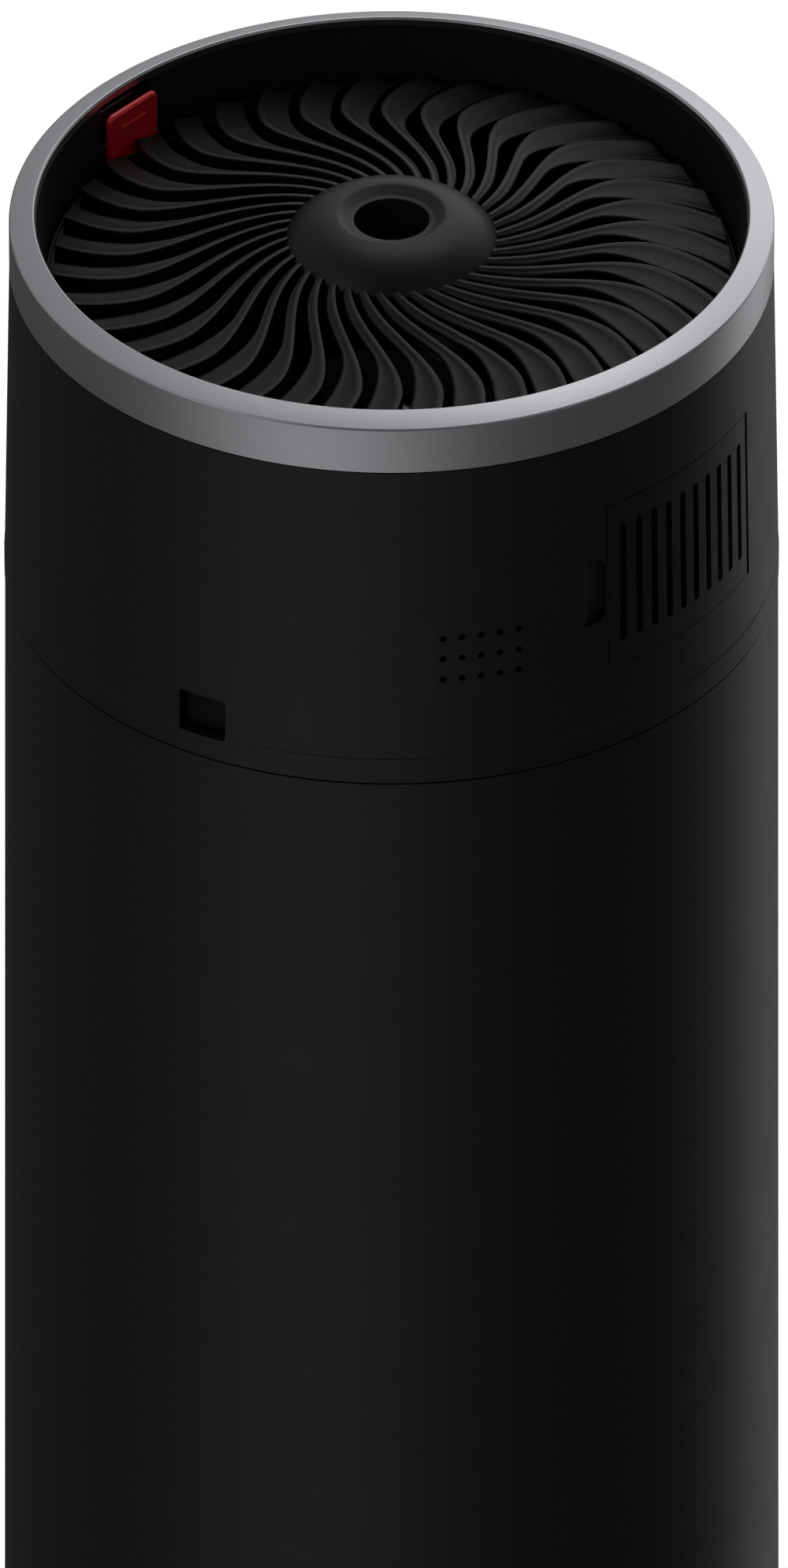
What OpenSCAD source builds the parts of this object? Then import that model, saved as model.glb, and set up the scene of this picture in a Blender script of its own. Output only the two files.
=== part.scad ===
// Round tower air purifier: a tapered black casing with a twisted-vane outlet grille set
// inside a satin metal ring, a lift-out cylindrical filter behind a rear door, and a
// mixed-flow fan. Millimetres. +Z is up, the origin is the centre of the footprint on the
// floor, and the side with the hinged sensor cover faces -Y.
// Azimuths ("phi") are measured from -Y towards +X.

/* [Overall] */
// Height from the floor to the highest edge of the metal ring
total_h = 640; // [600:5:700]
// Height of the seam between the lower and upper casing
seam_z = 498; // [480:1:500]

/* [Casing] */
// Outer radius of the casing just under the metal ring
ring_r = 127.4; // [127:0.1:128]
// Outer radius of the casing at the seam
seam_r = 129.8; // [129.5:0.1:130.5]
// Outer radius of the casing near the floor
foot_r = 133.8; // [133:0.1:137]
// Wall thickness of the casing mouldings
wall = 2.8; // [2.6:0.1:3.2]

/* [Metal ring] */
// Inner radius of the metal ring at its top edge
ring_in_r = 118.6; // [118:0.1:119]
// Height of the metal ring's outer skirt
ring_h = 20; // [16:1:22]
// Drop of the ring's top face from its inner to its outer edge
ring_drop = 2.6; // [1:0.1:4]

/* [Outlet grille] */
// Number of twisted vanes
vane_count = 40; // [24:1:48]
// Angle that a vane sweeps forward between the hub and its bend, in degrees
vane_sweep = 25; // [10:1:32]
// Angle that a vane leans back between its bend and the rim, in degrees
vane_back = 7; // [0:0.5:12]
// Thickness of a vane's lower edge
vane_t = 1.8; // [1.2:0.1:2.4]
// Radius of the hub where the vanes leave it
hub_r = 35.6; // [32:0.1:40]
// Radius of the finger hole in the hub
finger_r = 12.5; // [11:0.1:14]

/* [Release tab] */
// Azimuth of the release tab, in degrees
tab_phi = 229.5; // [200:0.5:260]
// Width of the release tab
tab_w = 25; // [20:0.5:30]
// Height of the release tab
tab_h = 20; // [14:0.5:20]

/* [Sensor cover] */
// Azimuth of the sensor cover's free edge, in degrees
cover_phi0 = 33.85; // [32:0.05:36]
// Azimuth of the sensor cover's hinged edge, in degrees
cover_phi1 = 67; // [64:0.1:70]
// Height of the sensor cover's lower edge above the floor
cover_z0 = 529.3; // [526:0.1:532]
// Height of the sensor cover
cover_h = 63.6; // [58:0.1:64]
// Number of slots in the sensor cover
cover_slots = 10; // [6:1:10]

/* [Rear door and filter] */
// Half the angle that the rear door spans, in degrees
door_half = 62; // [58:0.5:64]
// Height of the door's lower edge above the floor
door_z0 = 60.4; // [60.4:0.1:62]
// Outer radius of the filter's end caps
filter_r = 103; // [98:0.5:104]
// Number of pleats in the filter
pleats = 72; // [40:1:90]

/* [Fan] */
// Outer radius of the impeller
impeller_r = 84; // [78:0.5:88]
// Number of impeller blades
blades = 11; // [7:1:13]
// Radius of the motor shaft
shaft_r = 3; // [2.5:0.1:4]

/* [Hidden] */
$fn = 64;

// Gaps: between pieces that move apart, and between a pin and its hole
gap = 0.3;
pin_gap = 0.05;
// An overshoot that makes a cut run clean through a face
cut = 1;

// Casing heights
ring_z = total_h - ring_h;
bead_top_z = seam_z + 10;
bead_r = seam_r + 0.2;
foot_z = 24.4;
foot_round = 6.5;
upper_slope = (seam_r - ring_r) / (ring_z - bead_top_z);
lower_slope = (foot_r - seam_r) / (seam_z - foot_z - foot_round);
upper_tilt = atan(upper_slope);
function upper_r(z) = ring_r + (ring_z - z) * upper_slope;
function lower_r(z) = seam_r + (seam_z - z) * lower_slope;

// Fan and filter stack, from the bottom up
deck_top = 61.5;
deck_r = 126;
filter_z0 = deck_top + gap;
plate_z0 = 431;
plate_t = 5;
plate_z1 = plate_z0 + plate_t;
gasket_z1 = plate_z0 - 0.4;
gasket_z0 = gasket_z1 - 3.4;
cap_top_z0 = gasket_z0 - 9;
cap_bottom_z1 = filter_z0 + 9;
door_z1 = plate_z0 - 0.4;
core_r = 76;
duct_r = 104;
duct_wall = 2.5;
seat_z = 602.6;
plate_r = lower_r(plate_z0) - wall - 0.1;
harness_r = 2.2;
harness_at = 117;
harness_z = 566;

// Motor heights
can_r = 31;
can_z0 = 524;
can_z1 = 560;
bearing_r = 8;
hub_z0 = 500;
back_z = 512;
shroud_z = 451;

// Grille
rim_z0 = seat_z + 3 + gap;
rim_r = 115.5;
rim_in_r = 112;
rim_band_z = 613.6;
rim_top_z = 614;
rim_flat_y = 112.8;
vane_r0 = hub_r - 0.8;
vane_r1 = 112.7;
vane_bend_r = 86;
vane_steps = 16;
vane_phase = 4.5;
vane_land = 1.8;
vane_side = 8.2;
dome_r = 23;
dome_at = hub_r - 19.3;
dome_z = total_h - 23.7;
hole_floor_z = 609.5;

// Release tab, in its own frame with -Y pointing outwards
tab_face = 113.2;
tab_z0 = total_h - 25.6;
flange_y = 118.6;
flange_t = 1;
bracket_y = 123;

// Sensor cover
cover_t = 2.6;
nose_r = 1.6;
hinge_depth = nose_r + 0.1;
cover_z1 = cover_z0 + cover_h;
cover_mid_z = (cover_z0 + cover_z1) / 2;
hinge_phi = cover_phi1 - nose_r / upper_r(cover_mid_z) * 180 / PI;
pin_r = 0.8;

// Dark window and hole pattern in the upper casing
window_phi = -29.05;
window_w = 17.5;
window_h = 15.6;
window_z = 514.2;
vent_phi = 13.3;
vent_pitch_phi = 2.86;
vent_pitch_z = 8;
vent_z = 546.6;

// Mains inlet and rocker switch, low on the back
inlet_z = 45;
rocker_phi = 168;
inlet_y = lower_r(inlet_z);
pivot_y = 4.8 - inlet_y;
rocker_tilt = 7;

// Rear door
opening_half = door_half + 0.3;
lip_half = 58;
lip_over = 3;
lip_gap = 0.4;
lip_z0 = 64;
lip_z1 = 428;
door_t = 2.6;
magnet_r = 4;
magnet_t = 1.5;
magnet_phi = 60;

module at_phi(phi) {
    rotate([0, 0, phi]) children();
}

// A block that spans azimuths phi0 to phi1, radii r0 to r1 and heights z0 to z1
module sector(phi0, phi1, r0, r1, z0, z1) {
    rotate([0, 0, phi0 - 90])
        rotate_extrude(angle = phi1 - phi0)
            translate([r0, z0])
                square([r1 - r0, z1 - z0]);
}

// A slot with round ends, w wide and h tall, cut along Y between two depths
module round_slot(w, h, y0, y1) {
    translate([0, y1, 0])
        rotate([90, 0, 0])
            linear_extrude(y1 - y0) {
                square([w, h - w], center = true);
                translate([0, (h - w) / 2]) circle(d = w);
                translate([0, -(h - w) / 2]) circle(d = w);
            }
}

// A plate with round corners in the XZ plane, between two depths along Y
module round_plate(w, h, r, y0, y1) {
    translate([0, y1, 0])
        rotate([90, 0, 0])
            linear_extrude(y1 - y0) {
                square([w - 2 * r, h], center = true);
                square([w, h - 2 * r], center = true);
                for (sx = [-1, 1], sz = [-1, 1])
                    translate([sx * (w / 2 - r), sz * (h / 2 - r)]) circle(r);
            }
}

module tube(r_in, r_out, z0, z1) {
    translate([0, 0, z0])
        difference() {
            cylinder(r = r_out, h = z1 - z0);
            translate([0, 0, -cut]) cylinder(r = r_in, h = z1 - z0 + 2 * cut);
        }
}

module rod(r, z0, z1) {
    translate([0, 0, z0]) cylinder(r = r, h = z1 - z0);
}

module around(n, r, start = 0) {
    for (i = [0 : n - 1])
        rotate([0, 0, start + i * 360 / n]) translate([r, 0, 0]) children();
}

// ---- Casing ----

// Section of the lower casing wall, with its edge rolled in at the floor
function lower_section() = concat(
    [[seam_r, seam_z - 0.4], [lower_r(foot_z + foot_round), foot_z + foot_round]],
    [for (a = [15 : 15 : 90])
        [foot_r - foot_round * (1 - cos(a)), foot_z + foot_round * (1 - sin(a))]],
    [[foot_r - foot_round, foot_z + wall],
     [foot_r - wall, foot_z + foot_round],
     [seam_r - wall, seam_z - 0.4]]);

module lower_shell() color([0.09, 0.09, 0.1]) {
    difference() {
        rotate_extrude() polygon(lower_section());
        sector(180 - opening_half, 180 + opening_half, 110, 145, door_z0 - 0.4, door_z1 + 0.4);
        at_phi(180) translate([0, 0, inlet_z]) round_plate(25.4, 14.4, 1.5, -140, -118);
        at_phi(rocker_phi) translate([-7.7, -140, inlet_z - 9.7]) cube([15.4, 20, 19.4]);
    }
    for (start = [90 - opening_half - lip_over, 90 + lip_half])
        difference() {
            door_lip(start, opening_half + lip_over - lip_half, -lip_gap);
            corner_discs(wall + lip_gap - cut, magnet_t + cut);
        }
    for (start = [90 - opening_half - lip_over, 90 + opening_half + gap])
        door_lip(start, lip_over - gap, 0.2);
}

// A strip inside the casing wall, beside the door opening, that the door's edge laps over
module door_lip(start, angle, outset) {
    rotate([0, 0, start])
        rotate_extrude(angle = angle)
            polygon([
                [lower_r(lip_z0) - wall - 3.2, lip_z0], [lower_r(lip_z0) - wall + outset, lip_z0],
                [lower_r(lip_z1) - wall + outset, lip_z1], [lower_r(lip_z1) - wall - 3.2, lip_z1]]);
}

// Discs on the radial lines through the four corners of the door
module corner_discs(depth, thick) {
    for (side = [-1, 1], z = [90, 400])
        at_phi(180 + side * magnet_phi)
            translate([0, -lower_r(z) + depth + thick, z])
                rotate([90, 0, 0]) cylinder(r = magnet_r, h = thick);
}

module magnet_catches() color([0.6, 0.6, 0.62]) corner_discs(wall + lip_gap, magnet_t);

module upper_shell() color([0.09, 0.09, 0.1]) {
    pin_hole_l = 4.6;
    difference() {
        union() {
            difference() {
                rotate_extrude()
                    polygon([
                        [ring_r, ring_z], [seam_r, bead_top_z],
                        [bead_r, bead_top_z - 0.4], [bead_r, seam_z + 0.4],
                        [bead_r - 0.4, seam_z], [seam_r - wall - 0.3, seam_z],
                        [seam_r - wall - 0.3, seam_z - 11], [seam_r - wall - 2.4, seam_z - 11],
                        [seam_r - wall - 2.4, bead_top_z - 2], [seam_r - wall, bead_top_z + 1],
                        [ring_r - wall, ring_z - 8], [ring_r - 4.4, ring_z - 4],
                        [ring_r - 4.4, ring_z + 13], [ring_r - 2.5, ring_z + 13],
                        [ring_r - 2.5, ring_z]]);
                sector(cover_phi0 - 0.13, cover_phi1 + 0.13, 110, 140, cover_z0 - gap, cover_z1 + gap);
                finger_scoop();
            }
            for (z = [cover_z1 + gap, cover_z0 - gap - pin_hole_l])
                hinge_frame() translate([0, 0.6, z - cover_mid_z]) cylinder(r = 2.1, h = pin_hole_l);
        }
        for (z = [cover_z1 + gap - cut, cover_z0 - gap - pin_hole_l - cut])
            hinge_frame() translate([0, 0, z - cover_mid_z])
                cylinder(r = pin_r + pin_gap, h = pin_hole_l + 2 * cut);
        at_phi(window_phi) translate([0, 0, window_z]) {
            round_plate(window_w, window_h, 1.2, -140, -120);
            translate([-11.3, -126.9, -9]) cube([22.6, 10, 18]);
        }
        for (i = [-2 : 2], j = [-1 : 1])
            at_phi(vent_phi + i * vent_pitch_phi) translate([0, -120, vent_z + j * vent_pitch_z])
                rotate([90, 0, 0]) cylinder(r = 1.2, h = 20);
        at_phi(tab_phi) {
            translate([-19, -130, ring_z + 0.2]) cube([38, 20, 20]);
            translate([-16, -124.2, 608]) cube([32, 14.2, 13]);
        }
    }
}

// The frame of the cover's hinge: the pin axis is Z and -Y points outwards
module hinge_frame() {
    at_phi(hinge_phi)
        translate([0, -upper_r(cover_mid_z) + hinge_depth, cover_mid_z])
            rotate([-upper_tilt, 0, 0]) children();
}

// A hollow for a fingertip that deepens towards the cover's free edge
module finger_scoop() {
    scoop_r = 19;
    scoop_phi = cover_phi0 - 0.4;
    at_phi(scoop_phi)
        translate([0, -upper_r(cover_mid_z), cover_mid_z])
            intersection() {
                translate([0, -scoop_r + 2.2, -20]) cylinder(r = scoop_r, h = 40);
                translate([-12, 0, 0]) round_plate(24, 25, 4, -10, 10);
                translate([-20, -10, -20]) cube([20.1, 20, 40]);
            }
}

module top_ring() color([0.75, 0.76, 0.77])
    rotate_extrude()
        polygon(concat(
            [[ring_in_r, total_h - 0.7], [ring_in_r + 0.7, total_h]],
            [for (a = [72, 45, 18])
                [ring_r - 1.2 + 1.2 * cos(a), total_h - ring_drop - 1.2 + 1.2 * sin(a)]],
            [[ring_r, ring_z + 0.15], [ring_r - 2.2, ring_z + 0.15],
             [ring_r - 2.2, total_h - 4.6], [ring_in_r + 2.2, total_h - 3],
             [ring_in_r, total_h - 3]]));

module inner_collar() color([0.06, 0.06, 0.07])
    difference() {
        rotate_extrude()
            polygon([
                [ring_in_r - 0.2, total_h - 3.1], [rim_r + 0.6, total_h - 22],
                [rim_r + 0.6, seat_z + 3], [rim_in_r - 0.5, seat_z + 3],
                [rim_in_r - 0.5, seat_z], [rim_r + 3.2, seat_z],
                [rim_r + 2.8, total_h - 22], [ring_in_r + 1.8, ring_z + 13],
                [ring_r - 2.5, ring_z + 13], [ring_r - 2.5, ring_z + 15],
                [ring_in_r + 1.9, total_h - 4.2], [ring_in_r + 1.2, total_h - 3.1]]);
        at_phi(tab_phi)
            translate([-tab_w / 2 - 0.4, -130, tab_z0 - 0.4]) cube([tab_w + 0.8, 30, 40]);
    }

module plinth() color([0.07, 0.07, 0.08])
    difference() {
        union() {
            rod(122, 4, 7);
            tube(119, 122, 4, foot_z + 3);
            tube(119, foot_r - foot_round, foot_z, foot_z + 3);
        }
        around(4, post_at, 45) rod(4.2, 0, 8);
    }

post_at = 105;

module rubber_feet() color([0.12, 0.12, 0.12]) around(6, 110, 0) rod(9, 0, 4);

module deck_posts() color([0.1, 0.1, 0.1])
    around(4, post_at, 45)
        difference() {
            rod(6.5, 7, deck_top - 5.5);
            rod(1.8, 6, 24);
        }

module base_screws() color([0.7, 0.7, 0.72])
    around(4, post_at, 45) {
        rod(4, 4.3, 6.9);
        rod(1.8 - pin_gap, 6.8, 22);
    }

module base_deck() color([0.1, 0.1, 0.11])
    difference() {
        rod(deck_r, deck_top - 5.5, deck_top);
        translate([harness_at, 0, 0]) rod(3.2, 0, 100);
    }

module supply_board() color([0.1, 0.35, 0.2]) translate([-60, -40, 14]) cube([120, 80, 1.6]);

module supply_parts() color([0.2, 0.2, 0.2]) {
    board_top = 15.6;
    translate([-45, -24, board_top]) cube([34, 28, 24]);
    for (x = [8, 28]) translate([x, -20, 0]) rod(8, board_top, board_top + 26);
    translate([4, 8, board_top]) cube([40, 3, 24]);
    for (x = [5 : 6 : 41]) translate([x, 11, board_top]) cube([1.5, 12, 24]);
    translate([-42, 14, board_top]) cube([16, 12, 15]);
    translate([-18, 14, board_top]) cube([12, 16, 11]);
}

// A figure-eight outline for the two-pole mains inlet
module inlet_outline(r) {
    for (x = [-4.3, 4.3]) translate([x, 0]) circle(r);
    square([8.6, 2 * r], center = true);
}

module mains_inlet() color([0.05, 0.05, 0.05])
    at_phi(180) translate([0, 0, inlet_z])
        difference() {
            union() {
                round_plate(25, 14, 1.3, -inlet_y - 0.2, -108);
                round_plate(29, 18, 2, 3.7 - inlet_y, 5.7 - inlet_y);
            }
            translate([0, -119, 0]) rotate([90, 0, 0]) linear_extrude(20) inlet_outline(4.8);
        }

module inlet_pins() color([0.8, 0.7, 0.4])
    at_phi(180)
        for (x = [-4.3, 4.3])
            translate([x, -119, inlet_z]) rotate([90, 0, 0]) cylinder(r = 1.2, h = 12);

module rocker_housing() color([0.05, 0.05, 0.05])
    at_phi(rocker_phi) translate([0, 0, inlet_z])
        difference() {
            translate([-7.5, 0.8 - inlet_y, -9.5]) cube([15, 17, 19]);
            translate([-5.9, -140, -8]) cube([11.8, 153.6 - inlet_y, 16]);
            translate([-7.3, pivot_y, 0]) rotate([0, 90, 0]) cylinder(r = 1.2 + pin_gap, h = 14.6);
        }

module power_rocker() color([0.08, 0.08, 0.08])
    at_phi(rocker_phi) translate([0, pivot_y, inlet_z])
        rotate([-rocker_tilt, 0, 0]) {
            rotate([90, 0, 90])
                translate([0, 0, -5.5])
                    linear_extrude(11)
                        polygon([[-3.4, -7], [-4, 0], [-3.4, 7], [1.6, 7], [4, 1.5], [4, -1.5], [1.6, -7]]);
            translate([-7, 0, 0]) rotate([0, 90, 0]) cylinder(r = 1.2, h = 14);
        }

// ---- Air path ----

module inlet_plate() color([0.12, 0.12, 0.13]) {
    throat = 12;
    throat_r = 82;
    difference() {
        rotate_extrude()
            polygon(concat(
                [for (a = [0 : 15 : 90])
                    [throat_r - throat * cos(a), plate_z0 + throat - throat * sin(a)]],
                [[plate_r, plate_z0], [plate_r, plate_z1], [throat_r - 5, plate_z1],
                 [throat_r - throat + 2.2, plate_z0 + throat]]));
        translate([harness_at, 0, 0]) rod(3.2, 400, 500);
        around(6, 110, 30) rod(1.5 + pin_gap, 400, 500);
    }
}

module fan_duct() color([0.1, 0.1, 0.1])
    difference() {
        rotate_extrude()
            polygon([
                [duct_r - duct_wall, plate_z1], [duct_r + 10, plate_z1],
                [duct_r + 10, plate_z1 + 2.5], [duct_r, plate_z1 + 2.5],
                [duct_r, 586], [rim_in_r + 0.5, seat_z - 2.6], [rim_r + 3, seat_z - 2.6],
                [rim_r + 3, seat_z], [rim_in_r - 2, seat_z], [duct_r - duct_wall, 587]]);
        around(6, 110, 30) rod(1.5 + pin_gap, 430, 445);
    }

module duct_screws() color([0.7, 0.7, 0.72])
    around(6, 110, 30) {
        rod(3, plate_z1 + 2.5, plate_z1 + 4.9);
        rod(1.5, plate_z0 + 0.4, plate_z1 + 2.6);
    }

module motor_bracket() color([0.14, 0.14, 0.15])
    difference() {
        union() {
            rod(34, can_z1, can_z1 + 3);
            tube(duct_r - duct_wall - 2, duct_r - duct_wall - 0.05, can_z1 - 16, can_z1 + 3);
            for (i = [0 : 6])
                rotate([0, 0, i * 360 / 7])
                    translate([32, -1.25, can_z1 - 16])
                        cube([duct_r - duct_wall - 33, 2.5, 19]);
        }
        around(3, 22, 0) rod(1.6, can_z1 - 4, can_z1 + 4);
        rod(can_r + 0.5, 500, can_z1);
        rod(bearing_r, can_z1 - 1, can_z1 + 4);
    }

module motor_screws() color([0.7, 0.7, 0.72])
    around(3, 22, 0) {
        rod(2.8, can_z1 + 3, can_z1 + 5);
        rod(1.55, can_z1 - 2, can_z1 + 3.1);
    }

module motor_can() color([0.55, 0.56, 0.58])
    difference() {
        rod(can_r, can_z0, can_z1);
        rod(can_r - 2, can_z0 + 2, can_z1 - 2);
        rod(bearing_r, can_z0 - 1, can_z1 + 1);
        around(3, 22, 0) rod(1.6, can_z1 - 3, can_z1 + 1);
    }

module motor_stator() color([0.6, 0.35, 0.15])
    difference() {
        rod(can_r - 2, 533, 551);
        rod(18.8, 532, 552);
        around(9, 24, 0) rod(2.6, 532, 552);
    }

module motor_bearings() color([0.75, 0.75, 0.77])
    for (z = [can_z0, can_z1 - 5]) tube(shaft_r + pin_gap, bearing_r, z, z + 5);

module motor_shaft() color([0.8, 0.8, 0.82]) rod(shaft_r, 493, can_z1);

module motor_rotor() color([0.3, 0.3, 0.32]) tube(shaft_r, 18.2, 534, 550);

module impeller() color([0.2, 0.2, 0.21]) {
    difference() {
        union() {
            rod(impeller_r, back_z, back_z + 2.4);
            rod(12, hub_z0, back_z + 2.4);
            tube(72, impeller_r, shroud_z, shroud_z + 2);
            for (i = [0 : blades - 1]) rotate([0, 0, i * 360 / blades]) blade();
        }
        rod(shaft_r, 490, 530);
    }
}

// One backward-curved blade: a thin arc that leans back as it runs out to the rim
module blade() {
    blade_arc = 44;
    translate([impeller_r - 1.2, 0, shroud_z + 1])
        rotate([0, 0, 165])
            translate([0, -blade_arc, 0])
                rotate([0, 0, 58])
                    rotate_extrude(angle = 32)
                        translate([blade_arc - 0.8, 0]) square([1.6, back_z - shroud_z]);
}

module impeller_nut() color([0.75, 0.75, 0.77])
    difference() {
        translate([0, 0, hub_z0 - 5.2]) cylinder(r = 6, h = 5.2, $fn = 6);
        rod(shaft_r, 490, 501);
    }

// ---- Electronics ----

module control_board() color([0.1, 0.35, 0.2])
    at_phi(180) translate([-38, -117.6, 520]) cube([76, 1.6, 70]);

module board_parts() color([0.15, 0.15, 0.15])
    at_phi(180) {
        translate([-12, -119.2, 545]) cube([16, 1.6, 16]);
        translate([10, -120.1, 532]) cube([9, 2.5, 14]);
        translate([-26, -121.1, 575]) cube([20, 3.5, 8]);
        translate([6, -121.1, 575]) cube([16, 3.5, 8]);
        translate([-24, -119.8, 527]) cube([8, 2.2, 8]);
    }

module board_standoffs() color([0.8, 0.75, 0.5]) {
    for (x = [-30, 30], z = [527, 580])
        difference() {
            at_phi(180) translate([x, -116, z]) rotate([-90, 0, 0]) cylinder(r = 2.5, h = 20);
            rod(duct_r, 500, 600);
        }
    for (x = [-55, 55], y = [-35, 35]) translate([x, y, 0]) rod(2.5, 7, 14);
    for (x = [-11, 11])
        at_phi(vent_phi) translate([x, -121.5, vent_z + 10])
            rotate([90, 0, 0]) cylinder(r = 1.6, h = 3.8);
    for (x = [-9, 9])
        at_phi(window_phi) translate([x, -120.5, window_z + 10.6])
            rotate([90, 0, 0]) cylinder(r = 1.4, h = 5.6);
}

module sensor_bay() color([0.1, 0.1, 0.11]) {
    z0 = cover_z0 - 5;
    z1 = cover_z1 + 4;
    phi0 = cover_phi0 - 2.2;
    phi1 = cover_phi1 + 2.2;
    sector(phi0, phi1, 113.4, 114.9, z0, z1);
    sector(phi0, phi1, 114.9, 123, z0, z0 + 1.6);
    sector(phi0, phi1, 114.9, 123, z1 - 1.6, z1);
    sector(phi0, phi0 + 0.8, 114.9, 123, z0 + 1.6, z1 - 1.6);
    sector(phi1 - 0.8, phi1, 114.9, 123, z0 + 1.6, z1 - 1.6);
}

module particle_sensor() color([0.6, 0.62, 0.65])
    at_phi((cover_phi0 + cover_phi1) / 2)
        difference() {
            translate([-21, -120.9, 540]) cube([42, 5.8, 42]);
            for (x = [-12, -4]) translate([x, -120.9 - cut, 546]) cube([4, 3 + cut, 24]);
            translate([11, -120.9 - cut, 564]) rotate([-90, 0, 0]) cylinder(r = 6, h = 3 + cut);
        }

module sensor_mesh() color([0.25, 0.25, 0.26])
    sector(cover_phi0 - 1.4, cover_phi1 + 1.4, 123, 123.5, cover_z0 - 4.6, cover_z1 - 2);

module window_lens() color([0.01, 0.01, 0.01])
    at_phi(window_phi) translate([0, 0, window_z]) round_plate(22, 17.4, 1, -126.2, -123.8);

module remote_receiver() color([0.1, 0.35, 0.2])
    at_phi(window_phi) {
        translate([-12, -120.5, window_z - 8]) cube([24, 1.2, 21]);
        translate([-4, -122.4, window_z - 4]) cube([8, 1.95, 8]);
    }

module air_sensor_board() color([0.1, 0.35, 0.2])
    at_phi(vent_phi) {
        translate([-15, -121.5, vent_z - 13]) cube([30, 1.2, 26]);
        translate([-3, -122.9, vent_z - 3]) cube([6, 1.45, 6]);
    }

// The cable from the supply in the base up to the control board
module supply_harness() color([0.85, 0.85, 0.85]) {
    bend = 8;
    low_z = 36;
    translate([44, 0, low_z]) rotate([0, 90, 0]) cylinder(r = harness_r, h = harness_at - bend - 44);
    translate([harness_at - bend, 0, low_z + bend])
        rotate([-90, 0, 0])
            rotate_extrude(angle = 90) translate([bend, 0]) circle(harness_r);
    translate([harness_at, 0, 0]) rod(harness_r, low_z + bend, harness_z - bend);
    translate([harness_at, bend, harness_z - bend])
        rotate([90, 0, -90])
            rotate_extrude(angle = 90) translate([bend, 0]) circle(harness_r);
    translate([0, 0, harness_z])
        rotate([0, 0, 3.5])
            rotate_extrude(angle = 66) translate([harness_at, 0]) circle(harness_r);
}

// ---- Grille ----

module grille_rim() color([0.12, 0.12, 0.13])
    difference() {
        rotate_extrude()
            polygon([
                [rim_in_r, rim_z0], [rim_r, rim_z0], [rim_r, rim_top_z],
                [rim_r - 1.3, rim_top_z], [rim_r - 1.3, rim_band_z], [rim_in_r, rim_band_z]]);
        // A flat on the rim, so that it rises past the release tab
        at_phi(tab_phi)
            translate([-30, -rim_r - 1, rim_z0 - 1])
                cube([60, rim_r + 1 - rim_flat_y, 12]);
    }

module grille_hub() color([0.14, 0.14, 0.15])
    rotate_extrude()
        polygon(concat(
            [[finger_r, hole_floor_z], [finger_r, total_h - 3.2], [finger_r + 2, total_h - 3.2]],
            [for (a = [86 : -6 : 32]) [dome_at + dome_r * cos(a), dome_z + dome_r * sin(a)]],
            [[hub_r, total_h - 12], [hub_r, hole_floor_z - 1.5], [hub_r - 2.2, hole_floor_z - 1.5],
             [hub_r - 2.2, total_h - 14], [finger_r + 2.5, total_h - 7],
             [finger_r + 2.5, hole_floor_z - 2.5], [0, hole_floor_z - 2.5], [0, hole_floor_z]]));

function clamp01(x) = min(max(x, 0), 1);
function smooth(x) = let (u = clamp01(x)) u * u * (3 - 2 * u);
// The top edge of a vane: its angle, its height and, along the radius, how the section changes
function vane_angle(r) =
    vane_sweep * sin(90 * clamp01((r - vane_r0) / (vane_bend_r - vane_r0)))
    - vane_back * pow(clamp01((r - vane_bend_r) / (vane_r1 - vane_bend_r)), 1.5);
function vane_top(r) = total_h - 9.5 - 10 * pow((r - vane_r0) / (vane_r1 - vane_r0), 1.5);
function vane_width(r) = 3.2 + 1.2 * smooth((r - 35) / 15) + 7.2 * smooth((r - 66) / 28);
function vane_slope(r) = 30 - 16 * smooth((r - 35) / 45);
// The section at radius r, as distances round the circle and up from the vane's upper edge: a
// narrow flat land, a face that falls away from it, and a steep side below the upper edge
function vane_section(r) =
    let (
        w = vane_width(r),
        low = -(w - vane_land) * tan(vane_slope(r)))
    [[0, 0], [-vane_land, 0], [-w, low], [-w, low - vane_t], [0, -vane_side]];
function vane_point(r, p) =
    let (a = vane_angle(r) + p[0] / r * 180 / PI)
    [r * cos(a), r * sin(a), vane_top(r) + p[1]];

module grille_vanes() color([0.14, 0.14, 0.15]) {
    points = [
        for (i = [0 : vane_steps])
            let (r = vane_r0 + (vane_r1 - vane_r0) * i / vane_steps)
                for (p = vane_section(r)) vane_point(r, p)];
    sides = [
        for (i = [0 : vane_steps - 1], k = [0 : 4])
            let (a = 5 * i + k, b = 5 * i + (k + 1) % 5) each [[a, b + 5, b], [a, a + 5, b + 5]]];
    last = 5 * vane_steps;
    ends = [for (k = [1 : 3]) each [[0, k, k + 1], [last, last + k + 1, last + k]]];
    for (i = [0 : vane_count - 1])
        rotate([0, 0, vane_phase + i * 360 / vane_count])
            polyhedron(points, concat(sides, ends));
}

// ---- Release tab ----

module release_button() color([0.55, 0.03, 0.05])
    at_phi(tab_phi) {
        translate([0, 0, tab_z0 + tab_h / 2])
            round_plate(tab_w, tab_h, 3, -flange_y, -tab_face);
        translate([-15.2, -flange_y - flange_t, tab_z0 - 2.8]) cube([30.4, flange_t, 8.5]);
    }

module release_bracket() color([0.7, 0.7, 0.72])
    at_phi(tab_phi)
        difference() {
            union() {
                translate([-12, -bracket_y - 0.8, 606]) cube([24, 0.8, 24]);
                translate([-12, -bracket_y - 0.8, 606]) cube([24, 8, 0.8]);
            }
            translate([0, 0, 600]) cylinder(r = rim_r + 3.1, h = 20);
        }

module button_spring() color([0.75, 0.75, 0.77])
    at_phi(tab_phi) {
        bow_r = 24;
        bow_half = 28.5;
        translate([0, -flange_y - flange_t - 0.2 - bow_r, tab_z0])
            rotate([0, 0, 90 - bow_half])
                rotate_extrude(angle = 2 * bow_half)
                    translate([bow_r - 0.15, 0]) square([0.3, 5]);
    }

// ---- Sensor cover ----

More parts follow.
